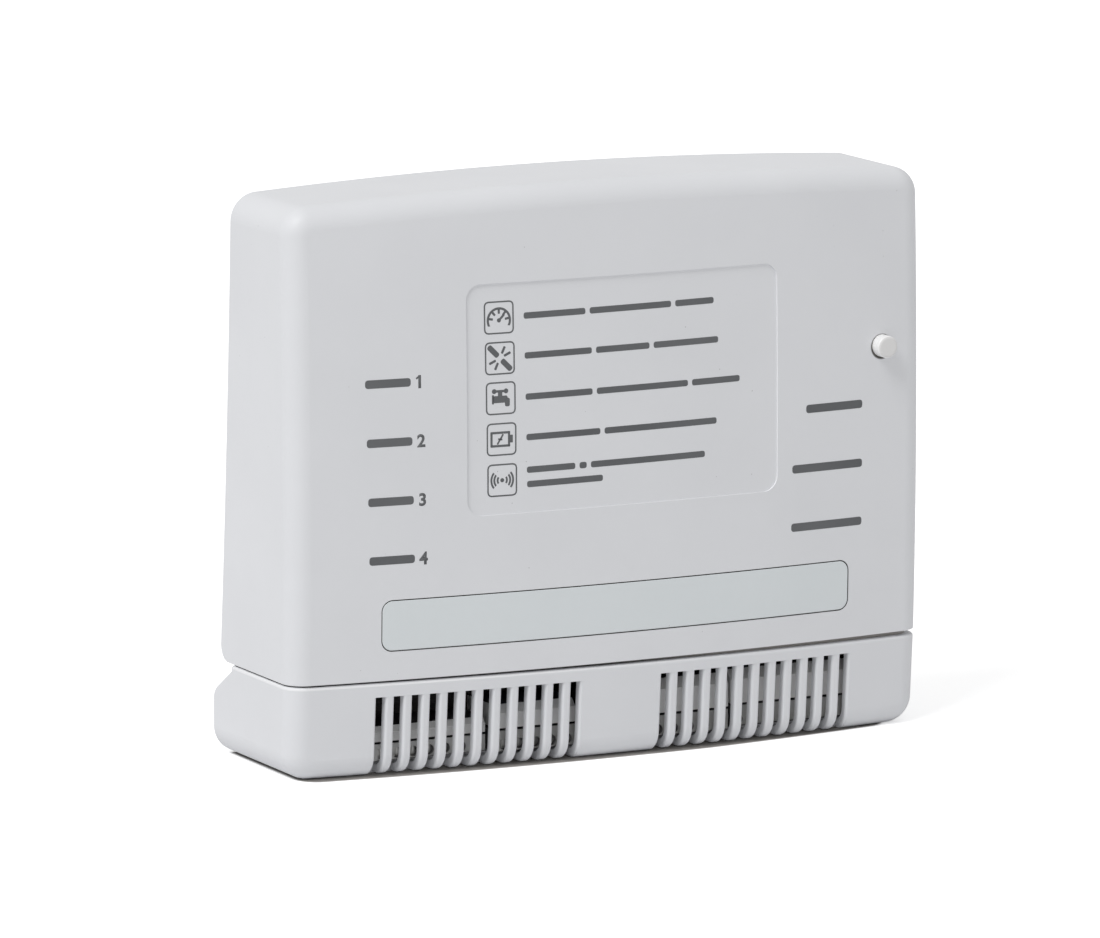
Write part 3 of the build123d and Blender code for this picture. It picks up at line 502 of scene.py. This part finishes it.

# Terminal blocks: rows of moulded grey polyamide with a screw and a wire mouth per pole,
# soldered along the board's lower edge. Their lower halves, which lie in the base's shade,
# the wire mouths, the seam that parts the two halves and the blocks' top edges are painted
# darker as painted shade, and the low blocks' bevel lighter as a painted highlight.
terminal_colour = (0.85, 0.85, 0.84, 1)
terminal_shade = (0.80, 0.80, 0.79, 1)
terminal_finish = {"roughness": 0.5, "grain_pitch": 0.0006, "depth": 0.00001}
dark_line_shade = (0.05, 0.05, 0.05, 1)
bevel_highlight = (1, 1, 0.99, 1)
seam_half = 0.0004
top_half = 0.00015
block_reach = 0.03
low_x = -0.058
low_half_x = 0.03
low_mouth_y = 0.0117
low_painted_shading = (
    ((0.60, 0.60, 0.59, 1), 0, 0.0061, 0.0028),
    ((0.20, 0.20, 0.20, 1), low_mouth_y, 0.0054, 0.0034),
    (dark_line_shade, low_mouth_y, 0.0088, seam_half),
    (bevel_highlight, 0, 0.0125, 0.0009),
    (dark_line_shade, 0, 0.0135, top_half),
)
valve_and_alarm = (0.001, 0.038)
valve_top = (-0.0235, 0.0135)
alarm_and_mains_top = (0.0443, 0.0370)
mains = (0.0605, 0.021)
all_tall = (0.022, 0.06)
tall_painted_shading = (
    ((0.42, 0.42, 0.41, 1), *all_tall, 0, 0.0067, 0.0033),
    ((0.15, 0.15, 0.15, 1), *valve_and_alarm, 0.0085, 0.006, 0.004),
    (dark_line_shade, *valve_and_alarm, 0.0085, 0.0100, seam_half),
    ((0.15, 0.15, 0.15, 1), *mains, 0.0118, 0.006, 0.004),
    (dark_line_shade, *mains, 0.0118, 0.0100, seam_half),
    (dark_line_shade, *valve_top, 0, 0.0171, top_half),
    (dark_line_shade, *alarm_and_mains_top, 0, 0.0201, top_half),
)
low_plastic = moulded("low terminals", terminal_colour, terminal_shade, **terminal_finish)
for colour, y, z, half_z in low_painted_shading:
    soil(low_plastic, colour, ((low_x, y, z), (low_half_x, block_reach, half_z)))
dress(["zone_terminals"], low_plastic)
tall_plastic = moulded("tall terminals", terminal_colour, terminal_shade, **terminal_finish)
for colour, x, half_x, y, z, half_z in tall_painted_shading:
    soil(tall_plastic, colour, ((x, y, z), (half_x, block_reach, half_z)))
dress(["valve_terminals", "alarm_terminals", "mains_terminals"], tall_plastic)

# Printed marks on the cover: dark-grey pad printing. Each zone has a plain number. A word's
# place holds a plain bar of its length, and the five framed signs are simple drawings of
# what the controller does: gauge, cable break, tap, battery and radio.
ink_colour = (0.105, 0.110, 0.116, 1)
ink_shade = (0.135, 0.140, 0.146, 1)
ink_gloss = 0.4
ink_lift = 0.00003
ink_thickness = 0.000025
print_plane_y = cad_box[0].y - 0.005
strip_pitch = 0.004
strip_offset = 0.0001
strip_reach = 20
zone_rows = (0.1124, 0.0957, 0.0790, 0.0623)
zone_lean = 0.0216
zone_bar_x = -0.0717
zone_bar_length = 0.0135
digit_x = -0.0623
digit_height = 0.0037
digit_weight = 1 / 32
flag_left = 0.00055
flag_rise = 0.0012
flag_length = 0.0012
flag_width = 0.0005
flag_turn = -0.65
status_rows = ((0.0958, 0.0191), (0.0787, 0.0237), (0.0618, 0.0239))
status_end_x = 0.0790
label_bar_height = 0.0024
note_bar_height = 0.0018
note_start_x = -0.0304
note_gap = 0.00135
note_rise = 0.0075
panel_lean = 0.0155
note_rows = (
    (0.1290, (0.0191, 0.0258, 0.0124)),
    (0.1177, (0.0208, 0.0169, 0.0208)),
    (0.1060, (0.0208, 0.0290, 0.0155)),
    (0.0945, (0.0230, 0.0359)),
    (0.0852, (0.0150, 0.0022, 0.0364)),
    (0.0811, (0.0236,)),
)
sign_x = -0.0380
sign_rows = (0.12895, 0.11745, 0.1061, 0.09445, 0.0828)
sign_width = 0.0091
sign_height = 0.0093
sign_corner = 0.0013
sign_line = 0.00042
stroke = 0.00065
thin_stroke = 0.0005
fine_corner = 0.0001
small_corner = 0.0002
dot_radius = 0.0006
dot_sides = 20
ring_sides = 48
corner_steps = 3
upright = (math.pi / 2, 0, 0)
marks = []


def fix_place():
    """Puts the active object's place, turn and size into its mesh."""
    bpy.ops.object.transform_apply(location=True, rotation=True, scale=True)


def edit_all():
    """Opens the active object for editing with everything selected."""
    bpy.ops.object.mode_set(mode="EDIT")
    bpy.ops.mesh.select_all(action="SELECT")


def print_bar(x, z, width, height, corner, turn=0.0):
    """A flat bar with rounded corners."""
    bpy.ops.mesh.primitive_plane_add(size=1, location=(x, print_plane_y, z))
    bar = bpy.context.object
    bar.rotation_euler = (math.pi / 2, turn, 0)
    bar.scale = (width, height, 1)
    fix_place()
    edit_all()
    bpy.ops.mesh.bevel(offset=corner, segments=corner_steps, affect="VERTICES")
    bpy.ops.object.mode_set(mode="OBJECT")
    marks.append(bar)


def print_frame(x, z, width, height, corner, line):
    """A rounded frame of one line."""
    print_bar(x, z, width, height, corner)
    edit_all()
    bpy.ops.mesh.inset(thickness=line)
    bpy.ops.mesh.delete(type="FACE")
    bpy.ops.object.mode_set(mode="OBJECT")


def print_disc(x, z, radius, sides=dot_sides):
    """A filled round."""
    bpy.ops.mesh.primitive_circle_add(
        vertices=sides, radius=radius, fill_type="NGON",
        location=(x, print_plane_y, z), rotation=upright,
    )
    fix_place()
    marks.append(bpy.context.object)


def print_arc(x, z, radius, line, cuts):
    """A ring, kept only on the inner side of each cut: (distance from the centre, angle)."""
    print_disc(x, z, radius, ring_sides)
    edit_all()
    bpy.ops.mesh.inset(thickness=line)
    bpy.ops.mesh.delete(type="FACE")
    for away, angle in cuts:
        side = (math.cos(angle), 0, math.sin(angle))
        middle = (x + away * side[0], print_plane_y, z + away * side[2])
        bpy.ops.mesh.select_all(action="SELECT")
        bpy.ops.mesh.bisect(plane_co=middle, plane_no=side, clear_outer=True)
    bpy.ops.object.mode_set(mode="OBJECT")


def print_digit(text, x, z):
    """One plain number, centred at x and z."""
    bpy.ops.object.text_add(location=(0, 0, 0))
    digit = bpy.context.object
    digit.data.body = text
    digit.data.align_x = "CENTER"
    digit.data.size = digit_height
    digit.data.offset = digit_height * digit_weight
    bpy.ops.object.convert(target="MESH")
    digit = bpy.context.object
    low = min(v.co.y for v in digit.data.vertices)
    high = max(v.co.y for v in digit.data.vertices)
    grow = digit_height / (high - low)
    digit.scale = (grow, grow, 1)
    digit.rotation_euler = upright
    digit.location = (x, print_plane_y, z - grow * (low + high) / 2)
    fix_place()
    marks.append(digit)


bpy.ops.object.select_all(action="DESELECT")
for number, z in enumerate(zone_rows, 1):
    lean = zone_lean * (zone_rows[0] - z)
    print_bar(zone_bar_x + lean, z, zone_bar_length, label_bar_height, label_bar_height / 3)
    print_digit(str(number), digit_x + lean, z)
flag_z = zone_rows[0] + flag_rise
print_bar(digit_x - flag_left, flag_z, flag_length, flag_width, fine_corner, flag_turn)
for z, length in status_rows:
    print_bar(status_end_x - length / 2, z, length, label_bar_height, label_bar_height / 3)
for z, lengths in note_rows:
    start = note_start_x + panel_lean * (note_rows[0][0] - z)
    for length in lengths:
        middle = start + length / 2
        rise = note_rise * (middle - note_start_x)
        print_bar(middle, z + rise, length, note_bar_height, note_bar_height / 3, -note_rise)
        start += length + note_gap
sign_places = [(sign_x + panel_lean * (sign_rows[0] - z), z) for z in sign_rows]
for x, z in sign_places:
    print_frame(x, z, sign_width, sign_height, sign_corner, sign_line)

# gauge: an open ring, ticks, a needle and its hub
gauge_radius = 0.0037
gauge_drop = 0.0008
gauge_foot = 0.0016
tick_length = 0.0013
tick_reach = gauge_radius - 0.0012
needle_length = 0.0026
needle_away = 0.0007
x, z = sign_places[0]
z -= gauge_drop
print_arc(x, z, gauge_radius, stroke, [(gauge_foot, -math.pi / 2)])
for degrees in (10, 50, 90, 130, 170):
    angle = math.radians(degrees)
    tick_x = x + tick_reach * math.cos(angle)
    tick_z = z + tick_reach * math.sin(angle)
    print_bar(tick_x, tick_z, tick_length, stroke, stroke / 4, -angle)
print_bar(x + needle_away, z + needle_away, needle_length, stroke, stroke / 4, -math.pi / 4)
print_disc(x, z, dot_radius)

# cable break: two cable ends apart on a slant, with sparks between them
cable_away = 0.0020
cable_length = 0.0042
cable_width = 0.0016
cable_corner = 0.0006
spark_away = 0.0025
spark_length = 0.0022
spark_width = 0.0007
spark_lean = 0.35
x, z = sign_places[1]
for side in (-1, 1):
    away = side * cable_away
    print_bar(x + away, z - away, cable_length, cable_width, cable_corner, math.pi / 4)
    for angle in (math.pi / 4 - spark_lean, math.pi / 4 + spark_lean):
        spark_x = x + side * spark_away * math.cos(angle)
        spark_z = z + side * spark_away * math.sin(angle)
        print_bar(spark_x, spark_z, spark_length, spark_width, small_corner, -angle)

# tap: cross handle, stem, body, flange and spout; then the knobs at the handle's ends
tap_bars = (
    (-0.0002, 0.0020, 0.0036, 0.0007, small_corner),
    (-0.0002, 0.0010, 0.0013, 0.0018, small_corner),
    (-0.0002, -0.0003, 0.0046, 0.0020, 0.0006),
    (-0.0024, -0.0003, 0.0006, 0.0026, fine_corner),
    (0.0020, -0.0012, 0.0015, 0.0024, thin_stroke),
)
knob_radius = 0.0007
x, z = sign_places[2]
for right, up, width, height, corner in tap_bars:
    print_bar(x + right, z + up, width, height, corner)
right, up, width, _, _ = tap_bars[0]
for side in (-1, 1):
    print_disc(x + right + side * width / 2, z + up, knob_radius)

# battery: an outline with its pole, and a bolt of three strokes
cell_left = 0.0004
cell_width = 0.0060
cell_height = 0.0044
battery_bars = (
    (0.0030, 0, 0.0009, 0.0022, 0),
    (0, 0.0006, 0.0019, thin_stroke, -1.05),
    (-0.0008, -0.0006, 0.0019, thin_stroke, -1.05),
    (-0.0004, 0, 0.0013, thin_stroke, 0.15),
)
x, z = sign_places[3]
print_frame(x - cell_left, z, cell_width, cell_height, small_corner, stroke)
for right, up, width, height, turn in battery_bars:
    print_bar(x + right, z + up, width, height, fine_corner, turn)

# radio: a dot between arcs that widen on both sides
wave_radii = (0.0017, 0.0027, 0.0036)
wave_line = stroke * 0.85
wave_cut = math.radians(130)
x, z = sign_places[4]
print_disc(x, z, dot_radius)
for radius in wave_radii:
    for facing in (0, math.pi):
        print_arc(x, z, radius, wave_line, [(0, facing + wave_cut), (0, facing - wave_cut)])

bpy.ops.object.select_all(action="DESELECT")
for mark in marks:
    mark.select_set(True)
printed_marks = marks[0]
bpy.context.view_layer.objects.active = printed_marks
bpy.ops.object.join()
printed_marks.name = "printed_marks"
printed_marks.data.name = "printed_marks"
edit_all()
for step in range(-strip_reach, strip_reach + 1):
    cut_place = (step * strip_pitch + strip_offset, 0, 0)
    bpy.ops.mesh.select_all(action="SELECT")
    bpy.ops.mesh.bisect(plane_co=cut_place, plane_no=(1, 0, 0))
bpy.ops.object.mode_set(mode="OBJECT")
wrap = printed_marks.modifiers.new("lay on the face", "SHRINKWRAP")
wrap.target = nodes["front_cover"]
wrap.wrap_method = "PROJECT"
wrap.use_project_x = False
wrap.use_project_y = True
wrap.use_project_z = False
wrap.use_positive_direction = True
wrap.use_negative_direction = False
wrap.wrap_mode = "ABOVE_SURFACE"
wrap.offset = ink_lift
bpy.ops.object.modifier_apply(modifier=wrap.name)
film = printed_marks.modifiers.new("ink film", "SOLIDIFY")
film.thickness = ink_thickness
film.offset = -1
bpy.ops.object.modifier_apply(modifier=film.name)
ink = moulded(
    "print ink", ink_colour, ink_shade,
    roughness=0.42, grain_pitch=0.0003, depth=0.000003, gloss=ink_gloss, dusty=False,
)
printed_marks.data.materials.clear()
printed_marks.data.materials.append(ink)
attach(printed_marks, "case")

# Main board: glass-fibre laminate under a dark solder mask, with fine tracks, etched and
# tinned. Six screws hold it to pillars on the pan.
board_mask = (0.034, 0.031, 0.029, 1)
board_track = (0.046, 0.043, 0.040, 1)
track_pitch = 0.0025
track_line = 0.09
track_height = 0.00004
board_roughness = 0.5
board_gloss = 0.3
board_paint = bpy.data.materials.new("solder mask")
board_paint.use_nodes = True
tree = board_paint.node_tree
turned = tree.nodes.new("ShaderNodeMapping")
turned.inputs["Rotation"].default_value = upright
tracks = tree.nodes.new("ShaderNodeTexBrick")
tracks.inputs["Scale"].default_value = 1 / track_pitch
tracks.inputs["Color1"].default_value = board_mask
tracks.inputs["Color2"].default_value = board_mask
tracks.inputs["Mortar"].default_value = board_track
tracks.inputs["Mortar Size"].default_value = track_line
ridge = tree.nodes.new("ShaderNodeBump")
ridge.inputs["Distance"].default_value = track_height
body = body_of(board_paint)
body.inputs["Roughness"].default_value = board_roughness
body.inputs["Specular IOR Level"].default_value = board_gloss
tree.links.new(object_place(tree), turned.inputs["Vector"])
tree.links.new(turned.outputs["Vector"], tracks.inputs["Vector"])
tree.links.new(tracks.outputs["Color"], body.inputs["Base Color"])
tree.links.new(tracks.outputs["Fac"], ridge.inputs["Height"])
tree.links.new(ridge.outputs["Normal"], body.inputs["Normal"])
dress(["main_board"], board_paint)

# Small mouldings on the board, black: switch, supply module, fuse holder, buzzer, chip and
# cell cradle. Each is soldered or snapped to the board.
black_plastic = moulded(
    "black plastic", (0.018, 0.018, 0.02, 1), (0.03, 0.03, 0.032, 1),
    roughness=0.45, grain_pitch=0.0007, depth=0.00001,
)
black_nodes = [
    "switch_body", "switch_plunger", "power_module", "fuse_holder",
    "alarm_buzzer", "controller_chip", "battery_holder",
]
dress(black_nodes, black_plastic)

# Relays, surge absorber, cells and aerial: moulded relay cases, a dip of epoxy, a shrink
# sleeve on each cell and a sleeve on the wire. They are soldered or snapped in.
relay_plastic = moulded(
    "relay plastic", (0.03, 0.12, 0.36, 1), (0.025, 0.10, 0.30, 1),
    roughness=0.3, grain_pitch=0.0009, depth=0.000004,
)
dress(["valve_relays"], relay_plastic)
dipped_epoxy = moulded(
    "dipped epoxy", (0.04, 0.18, 0.42, 1), (0.035, 0.15, 0.36, 1),
    roughness=0.25, grain_pitch=0.0014, depth=0.00002,
)
dress(["surge_absorber"], dipped_epoxy)
cell_sleeve = moulded(
    "cell sleeve", (0.10, 0.11, 0.12, 1), (0.08, 0.09, 0.10, 1),
    roughness=0.22, grain_pitch=0.002, depth=0.000004,
)
dress(["backup_cells"], cell_sleeve)
wire_sleeve = moulded(
    "wire sleeve", (0.03, 0.03, 0.032, 1), (0.04, 0.04, 0.042, 1),
    roughness=0.35, grain_pitch=0.0006, depth=0.000004,
)
dress(["radio_aerial"], wire_sleeve)

# Lamp spacers and the lamps they carry: tubes of natural nylon cut to length, and lamps
# cast in clear epoxy, whose leads are soldered to the board.
nylon = moulded(
    "nylon", (0.72, 0.72, 0.68, 1), (0.68, 0.68, 0.64, 1),
    roughness=0.4, grain_pitch=0.0008, depth=0.000004,
)
dress(["led_spacers"], nylon)
epoxy_clearness = 0.85
epoxy = moulded(
    "clear epoxy", (0.86, 0.90, 0.88, 1), (0.83, 0.87, 0.85, 1),
    roughness=0.12, grain_pitch=0.003, depth=0.000002,
)
body_of(epoxy).inputs["Transmission Weight"].default_value = epoxy_clearness
dress(["zone_leds", "status_leds"], epoxy)

# Screws, contacts and cans: zinc-plated steel, sprung plate and drawn aluminium, all with
# the fine lines of their rolling or turning.
line_stretch = (200, 200, 6000)
line_depth = 0.000005


def metal_lines_group():
    """Fine parallel lines: a colour and a height."""
    group, feed, out = new_group(
        "metal lines",
        {"Colour": "NodeSocketColor", "Shade": "NodeSocketColor"},
        {"Colour": "NodeSocketColor", "Height": "NodeSocketFloat"},
    )
    stretch = group.nodes.new("ShaderNodeMapping")
    stretch.inputs["Scale"].default_value = line_stretch
    group.links.new(object_place(group), stretch.inputs["Vector"])
    lines = noise(group, stretch.outputs["Vector"], 1)
    colour = blended(group, lines, feed.outputs["Colour"], feed.outputs["Shade"])
    group.links.new(colour, out.inputs["Colour"])
    group.links.new(lines, out.inputs["Height"])
    return group


metal_lines = metal_lines_group()


def plated(name, colour, shade, roughness):
    """A plated or drawn metal with fine lines."""
    material = bpy.data.materials.new(name)
    material.use_nodes = True
    tree = material.node_tree
    body = body_of(material)
    body.inputs["Metallic"].default_value = 1
    body.inputs["Roughness"].default_value = roughness
    finish = tree.nodes.new("ShaderNodeGroup")
    finish.node_tree = metal_lines
    finish.inputs["Colour"].default_value = colour
    finish.inputs["Shade"].default_value = shade
    bump = tree.nodes.new("ShaderNodeBump")
    bump.inputs["Distance"].default_value = line_depth
    tree.links.new(finish.outputs["Colour"], body.inputs["Base Color"])
    tree.links.new(finish.outputs["Height"], bump.inputs["Height"])
    tree.links.new(bump.outputs["Normal"], body.inputs["Normal"])
    return material


zinc = plated("zinc plate", (0.66, 0.66, 0.64, 1), (0.58, 0.58, 0.57, 1), roughness=0.35)
dress(["board_screws", "terminal_screws", "cell_contacts"], zinc)
drawn_can = plated("drawn can", (0.70, 0.71, 0.72, 1), (0.62, 0.63, 0.64, 1), roughness=0.30)
dress(["filter_capacitors", "radio_module"], drawn_can)

# Mains fuse: a glass tube with a pressed metal cap on each end. It snaps into the clips of
# its holder.
fuse_clearness = 0.9
fuse_cap = 0.0051
fuse_glass = moulded(
    "fuse glass", (0.88, 0.92, 0.92, 1), (0.85, 0.90, 0.90, 1),
    roughness=0.08, grain_pitch=0.004, depth=0.000001,
)
body_of(fuse_glass).inputs["Transmission Weight"].default_value = fuse_clearness
dress(["mains_fuse"], fuse_glass)
fuse_low, fuse_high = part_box("mains_fuse")
fuse_mesh = nodes["mains_fuse"].data
fuse_mesh.materials.append(zinc)
for face in fuse_mesh.polygons:
    at_end = min(face.center.x - fuse_low.x, fuse_high.x - face.center.x)
    face.material_index = 1 if at_end < fuse_cap else 0
